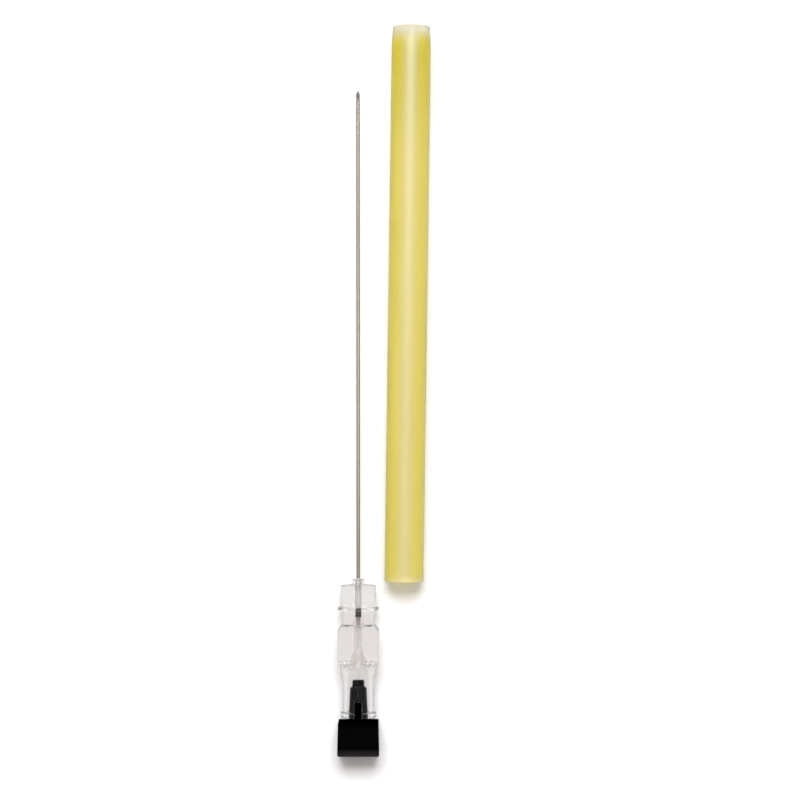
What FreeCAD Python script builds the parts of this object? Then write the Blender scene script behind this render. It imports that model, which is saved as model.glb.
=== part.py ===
# Spinal needle of 22 gauge by 90 mm, lying on a surface beside the sheath that has been drawn off it.
#
# The needle is a ground steel cannula bonded into a clear moulded hub. A stylet, a wire moulded into
# a black plastic cap, fills the bore of the cannula and is keyed to the hub, so that the two bevels
# stay flush. The sheath is a plain tube that pushes over the hub's seat as far as the stop ring.
#
# Frame: +X runs along the needle to its point, +Z is up. The origin is on the surface that the needle
# lies on, under the middle of the hub's grip. Sizes are in millimetres.

import FreeCAD, Part
import math
import os

# Driving dimensions. Lengths run along the needle.

# Flats that the needle lies on: height of the grip and of the cap, and diameter of the stop ring
across_flats = 7.5

# Cannula and stylet wire
cannula_free_length = 90.0
cannula_diameter = 0.72
cannula_bore = 0.42
wire_clearance = 0.02
bevel_angle = 24.0
lancet_angle = 33.0
lancet_turn = 34.0

# Outside of the hub, from its nose to its mouth
nose_length = 1.1
nose_diameter = 2.3
seat_length = 4.0
seat_diameter = 6.5
ring_thickness = 0.5
neck_length = 2.95
neck_diameter = 5.9
grip_length = 6.7
grip_width = 7.5
grip_corner_radius = 0.9
grip_lead_length = 1.05
grip_lead_drop = 0.42
grip_rear_radius = 0.2
barrel_length = 9.2
barrel_root_diameter = 6.9
barrel_root_length = 3.6
barrel_diameter = 5.75
flange_thickness = 0.9
flange_diameter = 6.45
moulded_edge_radius = 0.12
moulded_bevel = 0.12

# Inside of the hub, from its nose to its mouth
well_depth = 5.25
well_diameter = 1.15
well_cone_length = 1.3
bond_gap = 0.01
land_length = 1.6
funnel_length = 2.2
funnel_start_gap = 0.12
passage_diameter = 1.42
socket_cone_length = 3.3
luer_depth = 9.4
luer_mouth_diameter = 4.3
luer_taper = 0.06
cannula_stand_in_funnel = 1.65

# Key notch in the hub's mouth
notch_width = 1.5
notch_depth = 2.95
notch_corner_radius = 0.15

# Stylet cap with its plug and key
cap_length = 6.2
cap_front_width = 7.4
cap_rear_width = 7.7
cap_corner_radius = 0.35
cap_rear_round = 1.5
cap_side_round = 0.35
cap_stand_off = 0.85
plug_length = 7.15
plug_root_diameter = 3.45
plug_front_diameter = 2.9
plug_shoulder_length = 0.3
plug_tip_length = 1.4
plug_tip_diameter = 2.2
plug_tip_bevel = 0.25
key_side_clearance = 0.2
key_sink = 0.1
wire_anchor = 4.0

# Adhesive
bead_height = 0.15

# Sheath
sheath_length = 102.2
sheath_wall = 0.32
sheath_clearance = 0.025
sheath_side_gap = 1.065
sheath_turn = 0.82
sheath_end_behind_nose = 0.43

# Points closer than this are one point
same_point = 1e-6

# Places worked out from the sizes. x values are in the part's frame.
axis_height = across_flats / 2
ring_diameter = across_flats
grip_front_x = grip_length / 2
grip_rear_x = -grip_length / 2
ring_rear_x = grip_front_x + neck_length
ring_front_x = ring_rear_x + ring_thickness
seat_front_x = ring_front_x + seat_length
nose_x = seat_front_x + nose_length
barrel_rear_x = grip_rear_x - barrel_length
mouth_x = barrel_rear_x - flange_thickness
cap_front_x = mouth_x - cap_stand_off
cap_rear_x = cap_front_x - cap_length
point_x = nose_x + cannula_free_length
land_front_x = nose_x - well_depth
land_rear_x = land_front_x - land_length
funnel_rear_x = land_rear_x - funnel_length
cannula_rear_x = land_rear_x - cannula_stand_in_funnel
luer_front_x = mouth_x + luer_depth
passage_rear_x = luer_front_x + socket_cone_length
plug_tip_x = mouth_x + plug_length
wire_rear_x = cap_front_x - wire_anchor
wire_diameter = cannula_bore - 2 * wire_clearance

X_AXIS = FreeCAD.Vector(1, 0, 0)
Z_AXIS = FreeCAD.Vector(0, 0, 1)
AXIS_POINT = FreeCAD.Vector(0, 0, axis_height)


def luer_radius(x):
    """Radius of the tapered socket at a station x, narrowing from the mouth inwards."""
    return (luer_mouth_diameter - luer_taper * (x - mouth_x)) / 2


def rounded_outline(corners):
    """Closed wire through (x, r) corners, given as (x, r) or (x, r, radius of the corner's arc)."""
    points = [FreeCAD.Vector(corner[0], 0, axis_height + corner[1]) for corner in corners]
    radii = [corner[2] if len(corner) > 2 else 0.0 for corner in corners]
    count = len(points)
    arcs = []
    joints = []
    for i in range(count):
        corner = points[i]
        if radii[i] == 0:
            arcs.append(None)
            joints.append((corner, corner))
            continue
        back = (points[i - 1] - corner).normalize()
        ahead = (points[(i + 1) % count] - corner).normalize()
        half = back.getAngle(ahead) / 2
        start = corner + back * (radii[i] / math.tan(half))
        end = corner + ahead * (radii[i] / math.tan(half))
        centre = corner + (back + ahead).normalize() * (radii[i] / math.sin(half))
        middle = centre + (corner - centre).normalize() * radii[i]
        arcs.append(Part.Arc(start, middle, end).toShape())
        joints.append((start, end))
    edges = []
    for i in range(count):
        if arcs[i]:
            edges.append(arcs[i])
        line_start = joints[i][1]
        line_end = joints[(i + 1) % count][0]
        if line_start.distanceToPoint(line_end) > same_point:
            edges.append(Part.LineSegment(line_start, line_end).toShape())
    return Part.Wire(edges)


def turned(corners):
    """Solid of revolution about the needle's axis from a half section."""
    return Part.Face(rounded_outline(corners)).revolve(AXIS_POINT, X_AXIS, 360)


def rod(x_rear, x_front, diameter):
    """Round bar on the needle's axis."""
    start = FreeCAD.Vector(x_rear, 0, axis_height)
    return Part.makeCylinder(diameter / 2, x_front - x_rear, start, X_AXIS)


def edges_where(shape, test):
    """Edges of a shape whose two ends both pass a test."""
    return [edge for edge in shape.Edges if all(test(vertex.Point) for vertex in edge.Vertexes)]


def rounded_section(x, width, height, radius):
    """Closed wire of a rectangle with rounded corners across the needle, centred on its axis."""
    y = width / 2
    z = height / 2
    outline = Part.makePolygon([
        FreeCAD.Vector(x, -y, axis_height - z),
        FreeCAD.Vector(x, y, axis_height - z),
        FreeCAD.Vector(x, y, axis_height + z),
        FreeCAD.Vector(x, -y, axis_height + z),
        FreeCAD.Vector(x, -y, axis_height - z),
    ])
    block = Part.Face(outline).extrude(X_AXIS * radius)
    lengthwise = [edge for edge in block.Edges
                  if abs(edge.Vertexes[0].X - edge.Vertexes[1].X) > radius / 2]
    block = block.makeFillet(radius, lengthwise)
    section = edges_where(block, lambda point: abs(point.x - x) < same_point)
    return Part.Wire(Part.__sortEdges__(section))


# Ground point

def grind_tool(angle, turn):
    """Block that takes off what lies above one ground facet through the point."""
    size = 4 * cannula_diameter / math.sin(math.radians(angle))
    block = Part.makeBox(2 * size, 2 * size, size, FreeCAD.Vector(-size, -size, 0))
    block.rotate(FreeCAD.Vector(0, 0, 0), FreeCAD.Vector(0, 1, 0), angle)
    block.rotate(FreeCAD.Vector(0, 0, 0), X_AXIS, turn)
    block.translate(FreeCAD.Vector(point_x, 0, axis_height - cannula_diameter / 2))
    return block


def ground(blank):
    """A blank with the long bevel and the two lancet facets ground on its point."""
    blank = blank.cut(grind_tool(bevel_angle, 0))
    for side in (-1, 1):
        blank = blank.cut(grind_tool(lancet_angle, side * lancet_turn))
    return blank


def make_cannula():
    """Steel tube, ground to a lancet point at its front end."""
    tube = rod(cannula_rear_x, point_x, cannula_diameter)
    bore = rod(cannula_rear_x, point_x, cannula_bore)
    return ground(tube.cut(bore))


def make_stylet_wire():
    """Solid wire in the bore of the cannula, ground flush with it and held in the cap."""
    return ground(rod(wire_rear_x, point_x, wire_diameter))


# Hub

def hub_turned_outside():
    """Everything on the outside of the hub that is round."""
    edge = moulded_edge_radius
    bevel = moulded_bevel
    return turned([
        (nose_x, 0),
        (nose_x, nose_diameter / 2, edge),
        (seat_front_x, nose_diameter / 2),
        (seat_front_x, seat_diameter / 2, edge),
        (ring_front_x, seat_diameter / 2),
        (ring_front_x, ring_diameter / 2 - bevel),
        (ring_front_x - bevel, ring_diameter / 2),
        (ring_rear_x + bevel, ring_diameter / 2),
        (ring_rear_x, ring_diameter / 2 - bevel),
        (ring_rear_x, neck_diameter / 2),
        (grip_rear_x, neck_diameter / 2),
        (grip_rear_x, barrel_root_diameter / 2),
        (grip_rear_x - barrel_root_length, barrel_diameter / 2, barrel_root_diameter),
        (barrel_rear_x, barrel_diameter / 2),
        (barrel_rear_x, flange_diameter / 2 - bevel),
        (barrel_rear_x - bevel, flange_diameter / 2),
        (mouth_x + bevel, flange_diameter / 2),
        (mouth_x, flange_diameter / 2 - bevel),
        (mouth_x, 0),
    ])


def hub_grip():
    """Square grip with rounded corners, which tapers in a little towards the neck."""
    lead_x = grip_front_x - grip_lead_length
    lead_width = grip_width - 2 * grip_lead_drop
    lead_height = across_flats - 2 * grip_lead_drop
    full = rounded_section(lead_x, grip_width, across_flats, grip_corner_radius)
    front = rounded_section(grip_front_x, lead_width, lead_height, grip_corner_radius)
    lead = Part.makeLoft([full, front], True, True)
    grip = Part.Face(full).extrude(X_AXIS * (grip_rear_x - lead_x))
    rear = edges_where(grip, lambda point: abs(point.x - grip_rear_x) < same_point)
    return grip.makeFillet(grip_rear_radius, rear).fuse(lead)


def hub_bore():
    """Adhesive well, land, funnel, passage, cone and tapered socket, as one turned core."""
    land_radius = cannula_diameter / 2 + bond_gap
    return turned([
        (nose_x, 0),
        (nose_x, well_diameter / 2),
        (land_front_x + well_cone_length, well_diameter / 2),
        (land_front_x, land_radius),
        (land_rear_x, land_radius),
        (land_rear_x, land_radius + funnel_start_gap),
        (funnel_rear_x, passage_diameter / 2),
        (passage_rear_x, passage_diameter / 2),
        (luer_front_x, luer_radius(luer_front_x)),
        (mouth_x, luer_radius(mouth_x)),
        (mouth_x, 0),
    ])


def hub_notch():
    """Notch through the upper wall at the mouth, which takes the cap's key."""
    height = flange_diameter
    start_x = mouth_x - notch_depth
    corner = FreeCAD.Vector(start_x, -notch_width / 2, axis_height)
    notch = Part.makeBox(2 * notch_depth, notch_width, height, corner)
    end_x = mouth_x + notch_depth
    corners = edges_where(notch, lambda point: abs(point.x - end_x) < same_point)
    upright = [edge for edge in corners
               if abs(edge.Vertexes[0].Z - edge.Vertexes[1].Z) > height / 2]
    return notch.makeFillet(notch_corner_radius, upright)


def make_hub():
    """Clear hub, moulded in one piece."""
    hub = hub_turned_outside().fuse(hub_grip())
    hub = hub.cut(hub_bore()).cut(hub_notch())
    return hub.removeSplitter()


def make_adhesive():
    """Adhesive that fills the well round the cannula and domes a little over the nose."""
    bead_radius = well_diameter / 2
    dome_radius = cannula_diameter / 2 + bond_gap
    filling = turned([
        (nose_x + bead_height, 0),
        (nose_x + bead_height, dome_radius),
        (nose_x, bead_radius),
        (land_front_x + well_cone_length, bead_radius),
        (land_front_x, dome_radius),
        (land_front_x, 0),
    ])
    return filling.cut(rod(land_front_x, nose_x + 2 * bead_height, cannula_diameter))


# Stylet cap

def cap_block():
    """Block that widens rearwards, with rounded corners and rolled rear edges."""
    front = rounded_section(cap_front_x, cap_front_width, across_flats, cap_corner_radius)
    rear = rounded_section(cap_rear_x, cap_rear_width, across_flats, cap_corner_radius)
    block = Part.makeLoft([front, rear], True, True)
    for height_wise, radius in ((False, cap_rear_round), (True, cap_side_round)):
        block = block.common(rounded_envelope(height_wise, radius))
    return block


def rounded_envelope(height_wise, radius):
    """Box round the cap, whose two level or two upright rear edges are rounded."""
    corner = FreeCAD.Vector(cap_rear_x, -cap_rear_width / 2, 0)
    box = Part.makeBox(cap_length, cap_rear_width, across_flats, corner)
    rear = edges_where(box, lambda point: abs(point.x - cap_rear_x) < same_point)
    chosen = [edge for edge in rear
              if (abs(edge.Vertexes[0].Z - edge.Vertexes[1].Z) > across_flats / 2) == height_wise]
    return box.makeFillet(radius, chosen)


def cap_plug():
    """Plug that narrows to a spigot, loose in the hub's socket."""
    root_x = cap_front_x - cap_rear_round
    shoulder_x = plug_tip_x - plug_tip_length
    return turned([
        (root_x, 0),
        (root_x, plug_root_diameter / 2),
        (mouth_x, plug_root_diameter / 2),
        (shoulder_x - plug_shoulder_length, plug_front_diameter / 2),
        (shoulder_x, plug_tip_diameter / 2),
        (plug_tip_x - plug_tip_bevel, plug_tip_diameter / 2),
        (plug_tip_x, plug_tip_diameter / 2 - plug_tip_bevel),
        (plug_tip_x, 0),
    ])


def cap_key():
    """Key on top of the plug. It stops against the end of the hub's notch."""
    width = notch_width - 2 * key_side_clearance
    length = cap_stand_off + notch_depth
    height = barrel_diameter / 2 - key_sink
    corner = FreeCAD.Vector(cap_front_x, -width / 2, axis_height)
    return Part.makeBox(length, width, height, corner)


def make_stylet_cap():
    """Cap, plug and key, moulded in one piece round the wire."""
    cap = cap_block().fuse([cap_plug(), cap_key()])
    cap = cap.cut(rod(wire_rear_x, plug_tip_x, wire_diameter))
    return cap.removeSplitter()


# Sheath

def make_sheath():
    """Thin tube, open at both ends, lying beside the needle."""
    bore_diameter = seat_diameter + 2 * sheath_clearance
    outside_diameter = bore_diameter + 2 * sheath_wall
    tube = Part.makeCylinder(outside_diameter / 2, sheath_length, FreeCAD.Vector(0, 0, 0), X_AXIS)
    tube = tube.cut(Part.makeCylinder(bore_diameter / 2, sheath_length,
                                      FreeCAD.Vector(0, 0, 0), X_AXIS))
    tube.rotate(FreeCAD.Vector(0, 0, 0), Z_AXIS, -sheath_turn)
    widest = max(across_flats, grip_width)
    side = widest / 2 + sheath_side_gap + outside_diameter / 2
    tube.translate(FreeCAD.Vector(nose_x - sheath_end_behind_nose, -side, outside_diameter / 2))
    return tube


def main():
    """Builds each piece and writes it as a STEP file named after its node."""
    pieces = {
        "hub": make_hub(),
        "cannula": make_cannula(),
        "adhesive": make_adhesive(),
        "stylet_cap": make_stylet_cap(),
        "stylet_wire": make_stylet_wire(),
        "sheath": make_sheath(),
    }
    os.makedirs("parts", exist_ok=True)
    for name, shape in pieces.items():
        shape.exportStep(f"parts/{name}.step")
        print(f"{name}: {len(shape.Solids)} solid, {shape.Volume:.3f} mm3, valid {shape.isValid()}")


main()
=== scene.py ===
"""Spinal needle lying beside its sheath, dressed and lit for a camera straight above it.

The clear hub, the ground cannula, the bead of adhesive, the stylet with its black cap and the
yellow sheath each get a fine mesh in place of their solids. Lengths are in metres, in the frame of
the solids: +X runs along the needle to its point and +Z is up.
"""

import logging
import math
from collections.abc import Iterable, Sequence
from dataclasses import dataclass, field
from enum import Enum

import bmesh
import bpy
import numpy as np
from mathutils import Euler, Matrix, Vector


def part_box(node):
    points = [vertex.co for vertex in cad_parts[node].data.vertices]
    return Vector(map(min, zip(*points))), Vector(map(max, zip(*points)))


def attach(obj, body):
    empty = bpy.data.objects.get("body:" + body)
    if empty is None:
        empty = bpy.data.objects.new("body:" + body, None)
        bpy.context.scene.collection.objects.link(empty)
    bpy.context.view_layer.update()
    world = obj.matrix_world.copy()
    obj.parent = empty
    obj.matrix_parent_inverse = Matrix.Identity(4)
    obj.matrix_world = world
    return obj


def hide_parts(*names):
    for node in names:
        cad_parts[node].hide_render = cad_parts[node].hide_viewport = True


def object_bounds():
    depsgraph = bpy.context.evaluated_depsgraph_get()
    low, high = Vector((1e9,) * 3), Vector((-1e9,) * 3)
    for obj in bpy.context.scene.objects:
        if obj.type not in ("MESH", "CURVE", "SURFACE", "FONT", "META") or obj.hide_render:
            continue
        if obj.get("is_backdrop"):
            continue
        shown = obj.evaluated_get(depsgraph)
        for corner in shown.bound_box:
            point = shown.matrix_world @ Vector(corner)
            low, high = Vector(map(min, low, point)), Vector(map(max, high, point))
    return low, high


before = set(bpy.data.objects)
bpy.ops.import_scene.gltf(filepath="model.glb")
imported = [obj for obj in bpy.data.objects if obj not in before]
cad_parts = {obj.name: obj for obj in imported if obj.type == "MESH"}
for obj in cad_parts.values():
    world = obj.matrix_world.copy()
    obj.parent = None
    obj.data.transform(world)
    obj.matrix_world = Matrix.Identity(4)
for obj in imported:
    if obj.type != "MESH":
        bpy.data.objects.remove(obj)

logging.basicConfig(level=logging.INFO, format="%(message)s")
log = logging.getLogger("spinal_needle")

MM = 0.001

# Points closer than this are made one
WELD = 0.0002 * MM

# Longer than any piece, so that no run of an outline is divided
UNDIVIDED = 1.0

Point = tuple[float, float]
Colour = tuple[float, float, float]
Socket = bpy.types.NodeSocket

# Ranges that patterns are read from, and levels that they fade between
NOISE_RANGE: Point = (0.3, 0.7)
NARROW_NOISE_RANGE: Point = (0.35, 0.65)
FADE_IN: Point = (0.0, 1.0)
FADE_OUT: Point = (1.0, 0.0)


class Body(Enum):
    """Rigid bodies that a piece can ride on."""

    NEEDLE = "needle"
    STYLET = "stylet"


class Slot(Enum):
    """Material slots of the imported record."""

    CLEAR_PLASTIC = "clear_plastic"
    GROUND_STEEL = "ground_steel"
    CURED_ADHESIVE = "cured_adhesive"
    BLACK_PLASTIC = "black_plastic"
    DRAWN_WIRE = "drawn_wire"
    YELLOW_PLASTIC = "yellow_plastic"


class Section(Enum):
    """Shape of a station's outline across the needle."""

    ROUND = "round"
    SQUARE = "square"


def add_sum(tree: bpy.types.NodeTree, operation: str, *values: Socket | float) -> Socket:
    """Adds one sum to a tree of nodes.

    Args:
        tree: The tree.
        operation: Name of the operation.
        *values: Sockets or numbers.

    Returns:
        The result.
    """
    made = tree.nodes.new("ShaderNodeMath")
    made.operation = operation
    for socket, value in zip(made.inputs, values):
        if isinstance(value, Socket):
            tree.links.new(value, socket)
        else:
            socket.default_value = value
    return made.outputs[0]


def ahead_of(start: float, lengths: Point) -> Point:
    """Two stations ahead of a start."""
    return (start + lengths[0], start + lengths[1])


def back_from(end: float, lengths: Point) -> Point:
    """Two stations behind an end, with the further one first."""
    return (end - lengths[1], end - lengths[0])


# Materials


class Shader:
    """A node-based material in the making, with one Principled surface."""

    def __init__(self, name: str) -> None:
        """Starts the material.

        Args:
            name: Name of the finish.
        """
        self.material = bpy.data.materials.new(name)
        self.material.use_nodes = True
        self.tree = self.material.node_tree
        self.nodes = self.tree.nodes
        self.links = self.tree.links
        self.surface = self.nodes["Principled BSDF"]
        self.output = self.nodes["Material Output"]

    def set(self, **values: object) -> None:
        """Sets sockets of the surface.

        Args:
            **values: Values by socket name, with underscores for spaces.
        """
        for name, value in values.items():
            socket = self.surface.inputs[name.replace("_", " ")]
            socket.default_value = (*value, 1.0) if isinstance(value, tuple) else value

    def node(self, kind: str, **settings: object) -> bpy.types.Node:
        """Adds a node.

        Args:
            kind: Its type name.
            **settings: Its properties.

        Returns:
            The node.
        """
        made = self.nodes.new(kind)
        for name, value in settings.items():
            setattr(made, name, value)
        return made

    def place(self, scale: Colour, shift: Colour = (0.0, 0.0, 0.0)) -> Socket:
        """Object coordinates, scaled along each axis.

        Args:
            scale: Factor for each axis, per metre.
            shift: Offset after scaling.

        Returns:
            The vector socket.
        """
        source = self.node("ShaderNodeTexCoord")
        mapping = self.node("ShaderNodeMapping")
        mapping.inputs["Scale"].default_value = scale
        mapping.inputs["Location"].default_value = shift
        self.links.new(source.outputs["Object"], mapping.inputs["Vector"])
        return mapping.outputs["Vector"]

    def noise(self, vector: Socket, detail: float) -> Socket:
        """Noise between 0 and 1.

        Args:
            vector: Where it is read, already scaled.
            detail: Octaves.

        Returns:
            The noise's value.
        """
        made = self.node("ShaderNodeTexNoise")
        made.inputs["Scale"].default_value = 1.0
        made.inputs["Detail"].default_value = detail
        self.links.new(vector, made.inputs["Vector"])
        return made.outputs["Fac"]

    def span(self, value: Socket, start: Point, end: Point) -> Socket:
        """Maps a value from one range to another, held at both ends.

        Args:
            value: The value.
            start: Range that it comes from.
            end: Range that it goes to.

        Returns:
            The mapped value.
        """
        made = self.node("ShaderNodeMapRange")
        for name, number in zip(("From Min", "From Max", "To Min", "To Max"), start + end):
            made.inputs[name].default_value = number
        self.links.new(value, made.inputs["Value"])
        return made.outputs["Result"]

    def blend(self, factor: Socket, low: Colour | Socket, high: Colour | Socket) -> Socket:
        """Mixes two colours.

        Args:
            factor: 0 for the first and 1 for the second.
            low: First colour.
            high: Second colour.

        Returns:
            The mixed colour.
        """
        # The colours' sockets follow those for numbers and vectors
        made = self.node("ShaderNodeMix", data_type="RGBA")
        for socket, colour in ((made.inputs[6], low), (made.inputs[7], high)):
            if isinstance(colour, Socket):
                self.links.new(colour, socket)
            else:
                socket.default_value = (*colour, 1.0)
        self.links.new(factor, made.inputs[0])
        return made.outputs[2]

    def along_needle(self) -> Socket:
        """Station along the needle, in metres.

        Returns:
            The socket.
        """
        split = self.node("ShaderNodeSeparateXYZ")
        self.links.new(self.place((1.0, 1.0, 1.0)), split.inputs["Vector"])
        return split.outputs["X"]

    def joined(self, operation: str, *values: Socket | float) -> Socket:
        """Result of one sum on sockets or numbers."""
        return add_sum(self.tree, operation, *values)

    def mixed(self, factor: Socket, first: bpy.types.Node, second: bpy.types.Node) -> bpy.types.Node:
        """Mixes two shaders.

        Args:
            factor: 0 for the first and 1 for the second.
            first: Node of the first.
            second: Node of the second.

        Returns:
            The node that mixes them.
        """
        made = self.node("ShaderNodeMixShader")
        for socket, source in zip(made.inputs, (factor, first.outputs[0], second.outputs[0])):
            self.links.new(source, socket)
        return made

    def bump(self, height: Socket, depth: float, strength: float) -> None:
        """Roughens the surface's normal.

        Args:
            height: Height between 0 and 1.
            depth: Height of 1, in metres.
            strength: Weight between 0 and 1.
        """
        made = self.node("ShaderNodeBump")
        made.inputs["Distance"].default_value = depth
        made.inputs["Strength"].default_value = strength
        self.links.new(height, made.inputs["Height"])
        self.links.new(made.outputs["Normal"], self.surface.inputs["Normal"])

    def drive(self, socket: str, value: Socket) -> None:
        """Feeds one socket of the surface from a pattern."""
        self.links.new(value, self.surface.inputs[socket])


@dataclass(frozen=True)
class ClearPlastic:
    """Clear moulded plastic, very slightly cloudy, with faint flow lines from the moulding, and painted
    shade that tints the outer skin of the neck and grip darker.
    """

    name: str = "clear_moulded_plastic"
    tint: Colour = (0.868, 0.853, 0.847)
    core_tint: Colour = (1.0, 0.99, 0.985)
    core_radius: Point = (0.75 * MM, 1.2 * MM)
    # Painted shade: darker tint for the outer skin of the neck and grip, fading in and out between these
    # stations
    grip_shade_tint: Colour = (0.8, 0.765, 0.75)
    grip_shade_front: Point = (5.2 * MM, 8.0 * MM)
    grip_shade_rear: Point = (-5.0 * MM, -3.6 * MM)
    ior: float = 1.57
    gloss: Point = (0.15, 0.7)
    roughness: Point = (0.12, 0.18)
    cored_roughness: float = 0.24
    cored_radius: Point = (2.3 * MM, 2.7 * MM)
    axis: float = 3.75 * MM
    flow_per_metre: Colour = (160.0, 700.0, 700.0)
    flow_depth: float = 0.004 * MM

    def material(self) -> bpy.types.Material:
        """Builds the finish.

        Returns:
            The material.
        """
        shader = Shader(self.name)
        shader.set(IOR=self.ior, Transmission_Weight=1.0)
        from_axis = shader.node("ShaderNodeVectorMath", operation="LENGTH")
        shader.links.new(shader.place((0.0, 1.0, 1.0), (0.0, 0.0, -self.axis)), from_axis.inputs[0])
        radius = from_axis.outputs["Value"]
        along = shader.along_needle()
        # Painted shade: the outer skin of the neck and grip is tinted darker for the shadowed floor seen
        # through them
        front = shader.span(along, self.grip_shade_front, FADE_OUT)
        rear = shader.span(along, self.grip_shade_rear, FADE_IN)
        gripped = shader.joined("MULTIPLY", front, rear)
        skin = shader.span(radius, self.cored_radius, FADE_IN)
        colour = shader.blend(shader.joined("MULTIPLY", gripped, skin), self.tint, self.grip_shade_tint)
        middle = shader.span(radius, self.core_radius, FADE_OUT)
        shader.drive("Base Color", shader.blend(middle, colour, self.core_tint))
        shader.drive("Specular Tint", shader.span(radius, self.cored_radius, self.gloss))
        flow = shader.noise(shader.place(self.flow_per_metre), detail=3.0)
        core = shader.span(radius, self.cored_radius, (self.cored_roughness, 0.0))
        cored = shader.joined("MULTIPLY", core, gripped)
        polished = shader.span(flow, NOISE_RANGE, self.roughness)
        shader.drive("Roughness", shader.joined("ADD", cored, polished))
        shader.bump(flow, self.flow_depth, 0.5)
        return shader.material


@dataclass(frozen=True)
class Adhesive:
    """Cured adhesive with small bubbles and streaks."""

    name: str = "cured_adhesive"
    tint: Colour = (0.88, 0.87, 0.86)
    ior: float = 1.5
    clearness: float = 0.45
    roughness: Point = (0.1, 0.26)
    bubbles_per_metre: float = 5000.0
    bubble_depth: float = 0.005 * MM

    def material(self) -> bpy.types.Material:
        """Builds the finish.

        Returns:
            The material.
        """
        shader = Shader(self.name)
        shader.set(Base_Color=self.tint, IOR=self.ior, Transmission_Weight=self.clearness)
        bubbles = shader.noise(shader.place((self.bubbles_per_metre,) * 3), detail=2.0)
        shader.drive("Roughness", shader.span(bubbles, NARROW_NOISE_RANGE, self.roughness))
        shader.bump(bubbles, self.bubble_depth, 0.6)
        return shader.material


@dataclass(frozen=True)
class DrawnSteel:
    """Drawn and polished stainless steel, with lengthwise draw lines.

    A bonded stretch is darker where one is given, with painted shade on the stub behind it, and a stretch
    that a sleeve hides at rest is darkened with painted shade.
    """

    name: str = "drawn_stainless_steel"
    bright: Colour = (0.57, 0.565, 0.55)
    dull: Colour = (0.46, 0.455, 0.445)
    band_colour: Colour = (0.075, 0.069, 0.065)
    stub_shade_colour: Colour = (0.175, 0.148, 0.137)
    roughness: Point = (0.12, 0.2)
    lines_per_metre: Colour = (90.0, 14000.0, 14000.0)
    line_depth: float = 0.0006 * MM
    band: tuple[float, float, float] | None = None
    band_edge: float = 0.05 * MM
    sleeved: Point | None = None
    sleeve_shade_colour: Colour = (0.34, 0.335, 0.325)

    def material(self) -> bpy.types.Material:
        """Builds the finish.

        Returns:
            The material.
        """
        shader = Shader(self.name)
        shader.set(Metallic=1.0)
        lines = shader.noise(shader.place(self.lines_per_metre), detail=4.0)
        colour = shader.blend(shader.span(lines, NARROW_NOISE_RANGE, FADE_IN), self.dull, self.bright)
        shader.drive("Roughness", shader.span(lines, NOISE_RANGE, self.roughness))
        shader.bump(lines, self.line_depth, 0.4)
        if self.band:
            colour = self.banded(shader, colour)
        # Painted shade: the wire darkens where it runs into the cannula
        if self.sleeved:
            inside = shader.span(shader.along_needle(), self.sleeved, FADE_IN)
            colour = shader.blend(inside, colour, self.sleeve_shade_colour)
        shader.drive("Base Color", colour)
        return shader.material

    def banded(self, shader: Shader, colour: Socket) -> Socket:
        """Darkens the stretch that is etched for bonding, and darkens the stub behind it with painted
        shade.

        Args:
            shader: The material in the making.
            colour: Colour of the rest.

        Returns:
            The colour with its band.
        """
        along = shader.along_needle()
        stub, rear, front = self.band
        edge = self.band_edge
        # Painted shade: the stub behind the land is darkened, most next to the land
        stub_shade = shader.blend(shader.span(along, (stub, rear), FADE_IN), self.dull, self.stub_shade_colour)
        held = shader.span(along, (rear - edge, rear + edge), FADE_IN)
        free = shader.span(along, (front - edge, front + edge), FADE_IN)
        return shader.blend(free, shader.blend(held, stub_shade, self.band_colour), colour)


@dataclass(frozen=True)
class WireSteel(DrawnSteel):
    """Steel of the stylet's wire, brighter where the hub shows it, partly for its polish and partly as
    painted light, and darkened with painted shade where it runs in the cannula.
    """

    name: str = "drawn_stylet_wire"
    bright: Colour = (0.84, 0.83, 0.82)
    dull: Colour = (0.7, 0.69, 0.68)


@dataclass(frozen=True)
class GroundSteel:
    """Freshly ground steel on the facets of the point, with lines across the bevel, darkened with painted
    shade towards the heel.
    """

    name: str = "ground_facet_steel"
    colour: Colour = (0.36, 0.36, 0.355)
    heel_shade_colour: Colour = (0.2, 0.2, 0.195)
    heel_shade_length: Point = (0.6 * MM, 1.0 * MM)
    roughness: Point = (0.2, 0.34)
    lines_per_metre: Colour = (16000.0, 500.0, 16000.0)
    line_depth: float = 0.001 * MM

    def material(self) -> bpy.types.Material:
        """Builds the finish.

        Returns:
            The material.
        """
        shader = Shader(self.name)
        shader.set(Metallic=1.0)
        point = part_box("cannula")[1].x
        # Painted shade: the facets darken towards the heel of the bevel
        heel_shade = shader.span(shader.along_needle(), back_from(point, self.heel_shade_length), FADE_OUT)
        shader.drive("Base Color", shader.blend(heel_shade, self.colour, self.heel_shade_colour))
        lines = shader.noise(shader.place(self.lines_per_metre), detail=3.0)
        shader.drive("Roughness", shader.span(lines, NOISE_RANGE, self.roughness))
        shader.bump(lines, self.line_depth, 0.5)
        return shader.material


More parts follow.
